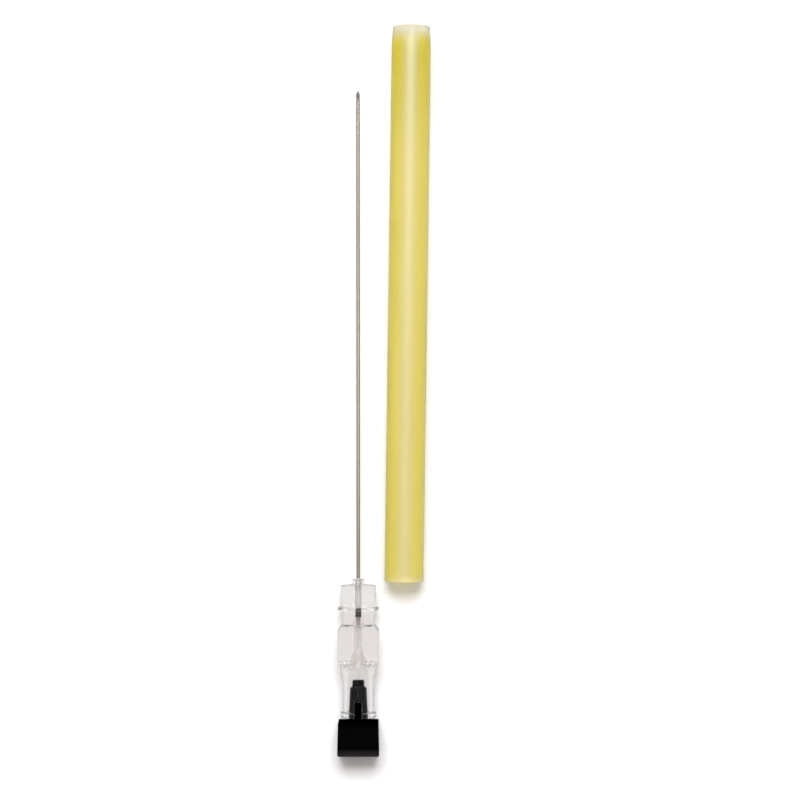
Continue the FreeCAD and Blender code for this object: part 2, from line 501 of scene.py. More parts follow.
@dataclass(frozen=True)
class BlackPlastic:
    """Black moulded plastic with a satin, finely eroded surface, and a painted sheen along its rolled rear
    edge.
    """

    name: str = "black_satin_plastic"
    colour: Colour = (0.0006, 0.0006, 0.0006)
    rear_sheen_colour: Colour = (0.034, 0.031, 0.03)
    rear_sheen_length: Point = (0.0, 1.6 * MM)
    specular: Point = (0.03, 0.0)
    sheltered_length: Point = (5.2 * MM, 6.1 * MM)
    ior: float = 1.49
    roughness: Point = (0.2, 0.3)
    broad_per_metre: float = 400.0
    grain_per_metre: float = 9000.0
    grain_depth: float = 0.004 * MM

    def material(self) -> bpy.types.Material:
        """Builds the finish.

        Returns:
            The material.
        """
        shader = Shader(self.name)
        shader.set(IOR=self.ior)
        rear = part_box("stylet_cap")[0].x
        along = shader.along_needle()
        sheltered = ahead_of(rear, self.sheltered_length)
        shader.drive("Specular IOR Level", shader.span(along, sheltered, self.specular))
        # Painted sheen: the rear of the cap is lighter where its rolled edge would catch light
        rear_sheen = shader.span(along, ahead_of(rear, self.rear_sheen_length), FADE_OUT)
        shader.drive("Base Color", shader.blend(rear_sheen, self.colour, self.rear_sheen_colour))
        grain = shader.noise(shader.place((self.grain_per_metre,) * 3), detail=4.0)
        broad = shader.noise(shader.place((self.broad_per_metre,) * 3), detail=2.0)
        shader.drive("Roughness", shader.span(broad, NOISE_RANGE, self.roughness))
        shader.bump(grain, self.grain_depth, 0.35)
        return shader.material


@dataclass(frozen=True)
class YellowPlastic:
    """Thin translucent yellow plastic, uneven, with a painted highlight at its near cut edge, a band of
    painted reflection along its middle, and whitened at its far end.
    """

    name: str = "translucent_yellow_plastic"
    plain: Colour = (0.97, 0.885, 0.25)
    deep: Colour = (0.88, 0.78, 0.07)
    # Painted reflection: colours of the band along the middle of the tube
    reflection_band: Colour = (0.86, 0.79, 0.42)
    far_reflection_band: Colour = (0.75, 0.71, 0.36)
    whitened: Colour = (0.84, 0.83, 0.66)
    whitened_reflection_band: Colour = (0.74, 0.7, 0.565)
    # Painted highlight: colour of the near cut edge, and its length
    rim_highlight: Colour = (0.91, 0.83, 0.44)
    deep_length: Point = (6.0 * MM, 26.0 * MM)
    whitened_length: Point = (0.8 * MM, 3.2 * MM)
    rim_highlight_length: Point = (0.1 * MM, 1.7 * MM)
    reflection_band_reach: Point = (0.7 * MM, 2.4 * MM)
    unevenness: float = 0.3
    ior: float = 1.5
    clearness: float = 0.72
    roughness: Point = (0.34, 0.42)
    whitened_roughness: float = 0.2
    flow_per_metre: Colour = (30.0, 420.0, 420.0)
    flow_depth: float = 0.003 * MM

    def material(self, middle: Vector, turn: float) -> bpy.types.Material:
        """Builds the finish.

        Args:
            middle: Middle of the tube.
            turn: Angle between the tube and the needle.

        Returns:
            The material.
        """
        shader = Shader(self.name)
        shader.set(IOR=self.ior, Transmission_Weight=self.clearness)
        flow = shader.noise(shader.place(self.flow_per_metre), detail=3.0)
        shader.bump(flow, self.flow_depth, 0.5)
        across = shader.node("ShaderNodeVectorMath", operation="DOT_PRODUCT")
        across.inputs[1].default_value = (-math.sin(turn), math.cos(turn), 0.0)
        shader.links.new(shader.place((1.0, 1.0, 1.0), tuple(-middle)), across.inputs[0])
        aside = shader.joined("ABSOLUTE", across.outputs["Value"])
        # Painted reflection: a paler, duller band along the middle of the tube
        reflection_band = shader.span(aside, self.reflection_band_reach, FADE_OUT)
        start, end = (corner.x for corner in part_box("sheath"))
        along = shader.along_needle()
        far = shader.span(along, back_from(end, self.deep_length), FADE_IN)
        uneven = shader.span(flow, NOISE_RANGE, (0.0, self.unevenness))
        colour = shader.blend(shader.joined("MAXIMUM", far, uneven), self.plain, self.deep)
        colour = shader.blend(reflection_band, colour, shader.blend(far, self.reflection_band, self.far_reflection_band))
        # Painted highlight: the near cut edge is paler where it catches light
        rim_highlight = shader.span(along, ahead_of(start, self.rim_highlight_length), FADE_OUT)
        colour = shader.blend(rim_highlight, colour, self.rim_highlight)
        cut = shader.span(along, back_from(end, self.whitened_length), FADE_IN)
        rougher = shader.span(cut, FADE_IN, (0.0, self.whitened_roughness))
        plain_roughness = shader.span(flow, NOISE_RANGE, self.roughness)
        shader.drive("Roughness", shader.joined("ADD", plain_roughness, rougher))
        # In the whitened end the band along the middle is darker instead, as painted shade
        whitened = shader.blend(reflection_band, self.whitened, self.whitened_reflection_band)
        shader.drive("Base Color", shader.blend(cut, colour, whitened))
        return shader.material


# Outlines and meshes


@dataclass(frozen=True)
class Corner:
    """Corner of an outline, as a station along the needle and a distance from its axis."""

    x: float
    r: float
    rounding: float = 0.0
    section: Section = Section.ROUND


@dataclass(frozen=True)
class Station:
    """One ring of a lofted skin."""

    x: float
    r: float
    section: Section


@dataclass(frozen=True)
class Outliner:
    """Turns corners into closely spaced stations, with arcs for rounded corners."""

    arc_steps: int = 7
    hold: float = 0.015 * MM
    longest: float = 1.5 * MM

    def trace(self, corners: Sequence[Corner], closed: bool) -> list[Station]:
        """Stations along the corners.

        Args:
            corners: The outline's corners in order.
            closed: True if the last corner joins the first.

        Returns:
            The stations, in the same order.
        """
        eased = [self.ease(corners, i, closed) for i in range(len(corners))]
        stations: list[Station] = []
        count = len(corners) if closed else len(corners) - 1
        for i in range(count):
            ahead = (i + 1) % len(corners)
            stations += [Station(x, r, corners[i].section) for x, r in eased[i]]
            stations += self.run(eased[i][-1], eased[ahead][0], corners[i], corners[ahead])
        if not closed:
            stations += [Station(x, r, corners[-1].section) for x, r in eased[-1]]
        return stations

    def ease(self, corners: Sequence[Corner], i: int, closed: bool) -> list[Point]:
        """Points of one corner.

        Args:
            corners: All corners.
            i: Which of them.
            closed: True if the outline is closed.

        Returns:
            The corner itself, or the points of its arc.
        """
        corner = corners[i]
        here = np.array([corner.x, corner.r])
        if corner.rounding == 0.0 or (not closed and i in (0, len(corners) - 1)):
            return [(corner.x, corner.r)]
        before = corners[i - 1]
        after = corners[(i + 1) % len(corners)]
        back = np.array([before.x, before.r]) - here
        ahead = np.array([after.x, after.r]) - here
        back /= np.linalg.norm(back)
        ahead /= np.linalg.norm(ahead)
        half = math.acos(float(np.clip(back @ ahead, -1.0, 1.0))) / 2
        middle = (back + ahead) / np.linalg.norm(back + ahead)
        centre = here + middle * corner.rounding / math.sin(half)
        start = here + back * corner.rounding / math.tan(half) - centre
        sweep = math.pi - 2 * half
        turn = math.copysign(sweep, float(back[0] * ahead[1] - back[1] * ahead[0])) * -1.0
        points = []
        for step in range(self.arc_steps + 1):
            angle = turn * step / self.arc_steps
            cos, sin = math.cos(angle), math.sin(angle)
            points.append((
                float(centre[0] + cos * start[0] - sin * start[1]),
                float(centre[1] + sin * start[0] + cos * start[1]),
            ))
        return points

    def run(self, start: Point, end: Point, first: Corner, last: Corner) -> list[Station]:
        """Stations inside a straight run, with one held close to each end.

        Args:
            start: Where it starts.
            end: Where it ends.
            first: Corner behind it.
            last: Corner ahead of it.

        Returns:
            The stations between its ends.
        """
        a = np.array(start)
        b = np.array(end)
        length = float(np.linalg.norm(b - a))
        if length < 4 * self.hold or first.section != last.section:
            return []
        inner = max(1, math.ceil(length / self.longest))
        shares = [self.hold / length, *(k / inner for k in range(1, inner)), 1 - self.hold / length]
        return [Station(*(a + (b - a) * share).tolist(), first.section) for share in shares]


def square_reach(angles: np.ndarray, half: float, corner: float) -> np.ndarray:
    """Distance from the middle of a rounded square to its outline.

    Args:
        angles: Directions.
        half: Half of its width.
        corner: Radius of its corners.

    Returns:
        The distance in each direction.
    """
    folded = np.abs((angles + math.pi / 4) % (math.pi / 2) - math.pi / 4)
    flat = half / np.cos(folded)
    inner = half - corner
    along = inner * (np.cos(folded) + np.sin(folded))
    reach = along + np.sqrt(np.maximum(along**2 - 2 * inner**2 + corner**2, 0.0))
    return np.where(np.tan(folded) <= inner / half, flat, reach)


def mesh_object(name: str, mesh: bpy.types.Mesh) -> bpy.types.Object:
    """Links a mesh into the scene.

    Args:
        name: Name of the piece.
        mesh: Its mesh.

    Returns:
        The object.
    """
    made = bpy.data.objects.new(name, mesh)
    bpy.context.scene.collection.objects.link(made)
    return made


def skin_rings(name: str, rings: np.ndarray, closed: bool) -> bpy.types.Mesh:
    """Mesh through rings of points.

    Args:
        name: Name of the mesh.
        rings: Points as ring, place round the ring, and coordinate.
        closed: True if the last ring joins the first, or else both ends are filled.

    Returns:
        The mesh, closed and with its faces outwards.
    """
    count, around = rings.shape[:2]
    build = bmesh.new()
    verts = [[build.verts.new(point) for point in ring] for ring in rings.tolist()]
    for i in range(count if closed else count - 1):
        ahead = verts[(i + 1) % count]
        for j in range(around):
            k = (j + 1) % around
            build.faces.new((verts[i][j], verts[i][k], ahead[k], ahead[j]))
    if not closed:
        for ring in (verts[0], verts[-1]):
            build.faces.new(ring)
    bmesh.ops.remove_doubles(build, verts=build.verts, dist=WELD)
    bmesh.ops.recalc_face_normals(build, faces=build.faces)
    mesh = bpy.data.meshes.new(name)
    build.to_mesh(mesh)
    build.free()
    return mesh


def finish_mesh(mesh: bpy.types.Mesh, crease_degrees: float = 32.0) -> None:
    """Smooths a mesh's shading except at its creases."""
    mesh.shade_smooth()
    mesh.set_sharp_from_angle(angle=math.radians(crease_degrees))


def baked(piece: bpy.types.Object) -> bpy.types.Object:
    """Turns a piece with modifiers into a plain mesh, closed and with its faces outwards.

    Args:
        piece: The piece.

    Returns:
        The same piece with no modifiers.
    """
    graph = bpy.context.evaluated_depsgraph_get()
    mesh = bpy.data.meshes.new_from_object(piece.evaluated_get(graph))
    piece.modifiers.clear()
    old = piece.data
    piece.data = mesh
    bpy.data.meshes.remove(old)
    mesh.name = piece.name
    build = bmesh.new()
    build.from_mesh(mesh)
    bmesh.ops.remove_doubles(build, verts=build.verts, dist=WELD)
    bmesh.ops.dissolve_degenerate(build, edges=build.edges, dist=WELD / 2)
    bmesh.ops.recalc_face_normals(build, faces=build.faces)
    build.to_mesh(mesh)
    build.free()
    return piece


def combine(piece: bpy.types.Object, tool: bpy.types.Object, operation: str) -> None:
    """Adds another closed mesh to a piece, or cuts it away.

    Args:
        piece: The piece, which is changed.
        tool: The other mesh, which is used up.
        operation: UNION or DIFFERENCE.
    """
    modifier = piece.modifiers.new("combine", "BOOLEAN")
    modifier.operation = operation
    modifier.solver = "EXACT"
    modifier.object = tool
    baked(piece)
    bpy.data.meshes.remove(tool.data)


def eased_box(name: str, low: Vector, high: Vector, easing: float) -> bpy.types.Object:
    """Box with narrow bevelled edges.

    Args:
        name: Name of the object.
        low: Lowest corner.
        high: Highest corner.
        easing: Width of the bevels.

    Returns:
        The box.
    """
    build = bmesh.new()
    bmesh.ops.create_cube(build, size=1.0)
    middle = (low + high) / 2
    bmesh.ops.scale(build, vec=high - low, verts=build.verts)
    bmesh.ops.translate(build, vec=middle, verts=build.verts)
    bmesh.ops.bevel(build, geom=build.edges, offset=easing, segments=2, profile=0.5, affect="EDGES")
    mesh = bpy.data.meshes.new(name)
    build.to_mesh(mesh)
    build.free()
    return mesh_object(name, mesh)


# Geometry Nodes for the turned and ground pieces


class Tree:
    """Geometry Nodes tree in the making."""

    def __init__(self, name: str) -> None:
        """Starts the tree with a geometry input and output.

        Args:
            name: Name of the tree.
        """
        self.tree = bpy.data.node_groups.new(name, "GeometryNodeTree")
        self.tree.is_modifier = True
        self.keys: dict[str, str] = {}
        self.add_input("Geometry", "NodeSocketGeometry")
        self.tree.interface.new_socket("Geometry", in_out="OUTPUT", socket_type="NodeSocketGeometry")
        self.source = self.tree.nodes.new("NodeGroupInput")
        self.sink = self.tree.nodes.new("NodeGroupOutput")

    def add_input(self, name: str, kind: str) -> None:
        """Adds a named input."""
        socket = self.tree.interface.new_socket(name, in_out="INPUT", socket_type=kind)
        self.keys[name] = socket.identifier

    def node(self, kind: str, inputs: dict[int | str, object] | None = None,
             **settings: object) -> bpy.types.Node:
        """Adds a node and feeds it.

        Args:
            kind: Its type name.
            inputs: What feeds each socket, which is another socket or a value.
            **settings: Its properties.

        Returns:
            The node.
        """
        made = self.tree.nodes.new(kind)
        for name, value in settings.items():
            setattr(made, name, value)
        for key, value in (inputs or {}).items():
            if isinstance(value, Socket):
                self.tree.links.new(value, made.inputs[key])
            else:
                made.inputs[key].default_value = value
        return made

    def math(self, operation: str, *values: Socket | float) -> Socket:
        """Result of one sum on sockets or numbers."""
        return add_sum(self.tree, operation, *values)

    def given(self, name: str) -> Socket:
        """One of the tree's inputs."""
        return self.source.outputs[name]

    def end(self, geometry: Socket, material: Socket) -> None:
        """Ends the tree in real geometry with a material.

        Args:
            geometry: What comes out.
            material: Its material.
        """
        real = self.node("GeometryNodeRealizeInstances", {"Geometry": geometry})
        dressed = self.node("GeometryNodeSetMaterial", {"Geometry": real.outputs[0], "Material": material})
        self.tree.links.new(dressed.outputs[0], self.sink.inputs[0])

    def apply(self, piece: bpy.types.Object, values: dict[str, object]) -> bpy.types.Object:
        """Runs the tree on a piece and keeps the result as a plain mesh.

        Args:
            piece: The piece, which holds the geometry that goes in.
            values: Value of each named input.

        Returns:
            The piece.
        """
        modifier = piece.modifiers.new(self.tree.name, "NODES")
        modifier.node_group = self.tree
        for name, value in values.items():
            modifier[self.keys[name]] = value
        return baked(piece)


class Lathe:
    """Turns an outline round the needle's axis."""

    def __init__(self) -> None:
        """Builds the tree."""
        tree = Tree("turned_about_axis")
        tree.add_input("Steps Round", "NodeSocketInt")
        tree.add_input("Axis Height", "NodeSocketFloat")
        tree.add_input("Material", "NodeSocketMaterial")
        size = tree.node("GeometryNodeAttributeDomainSize", {0: tree.given("Geometry")})
        count = size.outputs["Point Count"]
        steps = tree.given("Steps Round")
        grid = tree.node("GeometryNodeMeshGrid", {
            "Size X": 1.0,
            "Size Y": 1.0,
            "Vertices X": count,
            "Vertices Y": tree.math("ADD", steps, 1),
        })
        place = tree.node("ShaderNodeSeparateXYZ", {0: tree.node("GeometryNodeInputPosition").outputs[0]})
        share = tree.math("ADD", place.outputs["X"], 0.5)
        station = tree.math("MULTIPLY", share, tree.math("SUBTRACT", count, 1))
        sampled = tree.node(
            "GeometryNodeSampleIndex",
            {
                "Geometry": tree.given("Geometry"),
                "Value": tree.node("GeometryNodeInputPosition").outputs[0],
                "Index": tree.math("ROUND", station),
            },
            data_type="FLOAT_VECTOR",
        )
        outline = tree.node("ShaderNodeSeparateXYZ", {0: sampled.outputs[0]})
        turn = tree.math("MULTIPLY", tree.math("ADD", place.outputs["Y"], 0.5), 2 * math.pi)
        across = tree.math("MULTIPLY", outline.outputs["Z"], tree.math("SINE", turn))
        upward = tree.math("MULTIPLY", outline.outputs["Z"], tree.math("COSINE", turn))
        position = tree.node("ShaderNodeCombineXYZ", {
            "X": outline.outputs["X"],
            "Y": across,
            "Z": tree.math("ADD", upward, tree.given("Axis Height")),
        })
        turned = tree.node("GeometryNodeSetPosition", {
            "Geometry": grid.outputs["Mesh"],
            "Position": position.outputs[0],
        })
        merged = tree.node("GeometryNodeMergeByDistance", {
            "Geometry": turned.outputs[0],
            "Distance": WELD,
        })
        tree.end(merged.outputs[0], tree.given("Material"))
        self.tree = tree

    def turn(self, name: str, stations: Iterable[Station], steps: int, axis: float,
             material: bpy.types.Material) -> bpy.types.Object:
        """Turns one piece.

        Args:
            name: Name of the piece.
            stations: Its outline, from one end to the other or right round.
            steps: Faces round the axis.
            axis: Height of the axis.
            material: Its finish.

        Returns:
            The piece.
        """
        points = [(station.x, 0.0, station.r) for station in stations]
        mesh = bpy.data.meshes.new(name)
        mesh.from_pydata(points, [(i, i + 1) for i in range(len(points) - 1)], [])
        piece = mesh_object(name, mesh)
        return self.tree.apply(piece, {"Steps Round": steps, "Axis Height": axis, "Material": material})


class Grinder:
    """Grinds a long bevel and two lancet facets on the end of a turned piece."""

    def __init__(self) -> None:
        """Builds the tree."""
        tree = Tree("ground_to_lancet_point")
        for name in ("Point X", "Point Height", "Bevel Slope", "Lancet Slope", "Lancet Turn"):
            tree.add_input(name, "NodeSocketFloat")
        tree.add_input("Material", "NodeSocketMaterial")
        place = tree.node("ShaderNodeSeparateXYZ", {0: tree.node("GeometryNodeInputPosition").outputs[0]})
        height = tree.math("SUBTRACT", place.outputs["Z"], tree.given("Point Height"))
        limit = tree.math("DIVIDE", height, tree.given("Bevel Slope"))
        leaning = tree.math("MULTIPLY", height, tree.math("COSINE", tree.given("Lancet Turn")))
        sideways = tree.math("MULTIPLY", place.outputs["Y"], tree.math("SINE", tree.given("Lancet Turn")))
        for operation in ("ADD", "SUBTRACT"):
            facet = tree.math("DIVIDE", tree.math(operation, leaning, sideways), tree.given("Lancet Slope"))
            limit = tree.math("MAXIMUM", limit, facet)
        end = tree.math("SUBTRACT", tree.given("Point X"), limit)
        position = tree.node("ShaderNodeCombineXYZ", {
            "X": tree.math("MINIMUM", place.outputs["X"], end),
            "Y": place.outputs["Y"],
            "Z": place.outputs["Z"],
        })
        ground = tree.node("GeometryNodeSetPosition", {
            "Geometry": tree.given("Geometry"),
            "Position": position.outputs[0],
        })
        merged = tree.node("GeometryNodeMergeByDistance", {
            "Geometry": ground.outputs[0],
            "Distance": WELD,
        })
        tree.end(merged.outputs[0], tree.given("Material"))
        self.tree = tree


# Sizes


@dataclass(frozen=True)
class Bevel:
    """Ground point of the cannula and of the wire in it."""

    angle: float = math.radians(24.0)
    lancet_angle: float = math.radians(33.0)
    lancet_turn: float = math.radians(34.0)


@dataclass(frozen=True)
class NeedlePlan:
    """Stations and diameters that several pieces share, from the sizes of the solids."""

    axis: float = 3.75 * MM
    cannula_diameter: float = 0.72 * MM
    cannula_bore: float = 0.42 * MM
    wire_diameter: float = 0.38 * MM
    well_depth: float = 5.25 * MM
    well_diameter: float = 1.15 * MM
    well_cone: float = 1.3 * MM
    land_length: float = 1.6 * MM
    sunk: float = 0.005 * MM
    sleeve_fade: float = 4.0 * MM
    nose: float = field(default_factory=lambda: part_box("hub")[1].x)
    mouth: float = field(default_factory=lambda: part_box("hub")[0].x)
    point: float = field(default_factory=lambda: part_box("cannula")[1].x)
    cannula_rear: float = field(default_factory=lambda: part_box("cannula")[0].x)
    wire_rear: float = field(default_factory=lambda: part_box("stylet_wire")[0].x)

    @property
    def land_front(self) -> float:
        """Station where the adhesive's well ends and the tight land starts."""
        return self.nose - self.well_depth

    @property
    def land_rear(self) -> float:
        """Station where the land opens into the funnel."""
        return self.land_front - self.land_length

    @property
    def sleeved(self) -> Point:
        """Stations between which the wire goes out of sight in the cannula."""
        return (self.cannula_rear, self.cannula_rear + self.sleeve_fade)

    @property
    def embedded_radius(self) -> float:
        """Radius of what grips the cannula, sunk a little into the steel."""
        return self.cannula_diameter / 2 - self.sunk


def join_body(piece: bpy.types.Object, body: Body, node: str) -> None:
    """Puts a finished piece in place of a solid.

    Args:
        piece: The piece.
        body: Body that it rides on.
        node: Solid that it stands for.
    """
    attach(piece, body.value)
    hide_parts(node)
    log.info("%s: %d faces on %s", piece.name, len(piece.data.polygons), body.value)


# Sub-assemblies


@dataclass
class Hub:
    """Clear moulded hub with its nose, seat, stop ring, grip, barrel and flanged mouth."""

    plan: NeedlePlan
    nose_length: float = 1.1 * MM
    nose_diameter: float = 2.3 * MM
    seat_length: float = 4.0 * MM
    seat_diameter: float = 6.5 * MM
    ring_thickness: float = 0.5 * MM
    ring_diameter: float = 7.5 * MM
    neck_length: float = 2.95 * MM
    neck_diameter: float = 5.9 * MM
    grip_length: float = 6.7 * MM
    grip_width: float = 7.5 * MM
    grip_corner: float = 0.9 * MM
    grip_lead_length: float = 0.82 * MM
    grip_lead_step: float = 0.12 * MM
    grip_lead_drop: float = 0.45 * MM
    root_diameter: float = 6.9 * MM
    root_length: float = 3.6 * MM
    barrel_diameter: float = 5.75 * MM
    flange_thickness: float = 0.9 * MM
    flange_diameter: float = 6.45 * MM
    easing: float = 0.12 * MM
    fine_easing: float = 0.05 * MM
    funnel_start_gap: float = 0.12 * MM
    funnel_length: float = 2.2 * MM
    passage_diameter: float = 1.42 * MM
    socket_cone: float = 3.3 * MM
    luer_depth: float = 9.4 * MM
    luer_mouth: float = 4.3 * MM
    luer_taper: float = 0.06
    notch_width: float = 1.36 * MM
    notch_depth: float = 2.95 * MM
    notch_corner: float = 0.15 * MM
    steps_round: int = 192

    def outside(self) -> list[Corner]:
        """Corners of the outside, from the nose to the mouth.

        Returns:
            The corners.
        """
        square = Section.SQUARE
        edge = self.easing
        seat = self.plan.nose - self.nose_length
        ring = seat - self.seat_length
        neck = ring - self.ring_thickness
        grip = neck - self.neck_length
        rear = grip - self.grip_length
        flange = self.plan.mouth + self.flange_thickness
        lead = self.grip_width / 2 - self.grip_lead_drop
        return [
            Corner(self.plan.nose, self.plan.well_diameter / 2, self.fine_easing),
            Corner(self.plan.nose, self.nose_diameter / 2, edge),
            Corner(seat, self.nose_diameter / 2, self.fine_easing),
            Corner(seat, self.seat_diameter / 2, edge),
            Corner(ring, self.seat_diameter / 2, self.fine_easing),
            Corner(ring, self.ring_diameter / 2, edge),
            Corner(neck, self.ring_diameter / 2, edge),
            Corner(neck, self.neck_diameter / 2, edge),
            Corner(grip, self.neck_diameter / 2),
            Corner(grip, self.neck_diameter / 2 + self.fine_easing, self.fine_easing, square),
            Corner(grip - self.grip_lead_step, lead, self.grip_lead_step, square),
            Corner(grip - self.grip_lead_length, self.grip_width / 2, edge, square),
            Corner(rear, self.grip_width / 2, edge, square),
            Corner(rear, self.root_diameter / 2),
            Corner(rear - self.root_length, self.barrel_diameter / 2, self.root_diameter),
            Corner(flange, self.barrel_diameter / 2, edge),
            Corner(flange, self.flange_diameter / 2, edge),
            Corner(self.plan.mouth, self.flange_diameter / 2, edge),
        ]

    def inside(self) -> list[Corner]:
        """Corners of the inside, from the mouth to the nose.

        Returns:
            The corners.
        """
        luer_front = self.plan.mouth + self.luer_depth
        luer_end = self.luer_mouth / 2 - self.luer_taper * self.luer_depth / 2
        passage = self.passage_diameter / 2
        tight = self.plan.embedded_radius
        start = self.plan.land_rear
        fine = self.fine_easing
        return [
            Corner(self.plan.mouth, self.luer_mouth / 2, fine),
            Corner(luer_front, luer_end, self.easing),
            Corner(luer_front + self.socket_cone, passage, 4 * self.easing),
            Corner(start - self.funnel_length, passage, self.easing),
            Corner(start, tight + self.funnel_start_gap, fine),
            Corner(start, tight),
            Corner(self.plan.land_front, tight),
            Corner(self.plan.land_front + self.plan.well_cone, self.plan.well_diameter / 2, self.easing),
        ]

    def skin(self) -> bpy.types.Object:
        """Mesh of the whole hub but for its notch.

        Returns:
            The piece.
        """
        stations = Outliner().trace(self.outside() + self.inside(), closed=True)
        angles = np.linspace(0.0, 2 * math.pi, self.steps_round, endpoint=False)
        rings = np.empty((len(stations), self.steps_round, 3))
        for ring, station in zip(rings, stations):
            reach = np.full_like(angles, station.r)
            if station.section is Section.SQUARE:
                reach = square_reach(angles, station.r, self.grip_corner)
            ring[:, 0] = station.x
            ring[:, 1] = reach * np.sin(angles)
            ring[:, 2] = self.plan.axis + reach * np.cos(angles)
        return mesh_object("hub_moulding", skin_rings("hub_moulding", rings, closed=True))

    def notch(self) -> bpy.types.Object:
        """Cutter for the key notch in the upper wall at the mouth.

        Returns:
            The cutter.
        """
        half = self.notch_width / 2
        overrun = self.notch_depth / 4
        corners = [
            Corner(self.plan.mouth - overrun, -half),
            Corner(self.plan.mouth - overrun, half),
            Corner(self.plan.mouth + self.notch_depth, half, self.notch_corner),
            Corner(self.plan.mouth + self.notch_depth, -half, self.notch_corner),
        ]
        plan = Outliner(longest=UNDIVIDED).trace(corners, closed=True)
        levels = (self.plan.axis, self.plan.axis + self.flange_diameter)
        rings = np.array([[(station.x, station.r, z) for station in plan] for z in levels])
        return mesh_object("notch_cutter", skin_rings("notch_cutter", rings, closed=False))

    def build(self, finish: ClearPlastic) -> bpy.types.Object:
        """Builds and dresses the hub.

        Args:
            finish: Its plastic.

        Returns:
            The piece.
        """
        piece = self.skin()
        combine(piece, self.notch(), "DIFFERENCE")
        piece.data.materials.clear()
        piece.data.materials.append(finish.material())
        finish_mesh(piece.data)
        join_body(piece, Body.NEEDLE, "hub")
        return piece


@dataclass
class Bead:
    """Adhesive in the well round the cannula, with a small meniscus over the nose."""

    plan: NeedlePlan
    lathe: Lathe
    height: float = 0.15 * MM
    gap: float = 0.012 * MM
    cone_round: float = 0.2 * MM
    edge_round: float = 0.04 * MM
    slope_round: float = 0.1 * MM
    lip_round: float = 0.004 * MM
    longest_run: float = 0.5 * MM
    steps_round: int = 96

    def build(self, finish: Adhesive) -> bpy.types.Object:
        """Builds and dresses the bead.

        Args:
            finish: Its adhesive.

        Returns:
            The piece.
        """
        inner = self.plan.embedded_radius
        outer = self.plan.well_diameter / 2 - self.gap
        cone_end = self.plan.land_front + self.plan.well_cone
        corners = [
            Corner(self.plan.land_front + self.gap, inner),
            Corner(cone_end, outer, self.cone_round),
            Corner(self.plan.nose, outer, self.edge_round),
            Corner(self.plan.nose + self.height / 4, (inner + outer) / 2, self.slope_round),
            Corner(self.plan.nose + self.height, inner + self.gap, self.lip_round),
            Corner(self.plan.nose + self.height, inner),
        ]
        stations = Outliner(longest=self.longest_run).trace(corners, closed=True)
        stations.append(stations[0])
        material = finish.material()
        piece = self.lathe.turn("adhesive_bead", stations, self.steps_round, self.plan.axis, material)
        finish_mesh(piece.data)
        join_body(piece, Body.NEEDLE, "adhesive")
        return piece


@dataclass
class GroundBar:
    """Tube or wire that is turned, and then ground to a point with the others."""

    plan: NeedlePlan
    lathe: Lathe
    grinder: Grinder
    bevel: Bevel
    rear: float
    radius: float
    bore: float = 0.0
    easing: float = 0.02 * MM
    face_rings: int = 6
    bevel_stretch: float = 2.2 * MM
    facet_facing: float = 0.2
    crease_degrees: float = 20.0
    edge_steps: int = 3
    longest_run: float = 12.0 * MM
    steps_round: int = 72

    def outline(self) -> list[Station]:
        """Outline of the blank.

        Returns:
            Its stations, from one end to the other or right round.
        """
        front = self.plan.point
        wall_front = front - self.bevel_stretch
        corners = [
            Corner(self.rear, self.bore),
            Corner(self.rear, self.radius, self.easing),
            Corner(wall_front, self.radius),
        ]
        outliner = Outliner(arc_steps=self.edge_steps, longest=self.longest_run)
        stations = outliner.trace(corners, closed=False)
        shares = np.linspace(0.0, 1.0, self.face_rings)
        stations += [
            Station(front, self.radius + (self.bore - self.radius) * share, Section.ROUND)
            for share in shares.tolist()
        ]
        if self.bore > 0.0:
            stations += [Station(wall_front, self.bore, Section.ROUND), stations[0]]
        return stations

    def build(self, name: str, finish: DrawnSteel, ground: GroundSteel) -> bpy.types.Object:
        """Builds and dresses the bar.

        Args:
            name: Name of the piece.
            finish: Finish of its drawn surface.
            ground: Finish of its ground facets.

        Returns:
            The piece.
        """
        drawn = finish.material()
        piece = self.lathe.turn(name, self.outline(), self.steps_round, self.plan.axis, drawn)
        self.grinder.tree.apply(piece, {
            "Point X": self.plan.point,
            "Point Height": self.plan.axis - self.plan.cannula_diameter / 2,
            "Bevel Slope": math.tan(self.bevel.angle),
            "Lancet Slope": math.tan(self.bevel.lancet_angle),
            "Lancet Turn": self.bevel.lancet_turn,
            "Material": drawn,
        })
        piece.data.materials.append(ground.material())
        last = len(piece.data.materials) - 1
        start = self.plan.point - self.bevel_stretch
        for face in piece.data.polygons:
            if face.center.x > start and face.normal.x > self.facet_facing:
                face.material_index = last
        finish_mesh(piece.data, self.crease_degrees)
        return piece


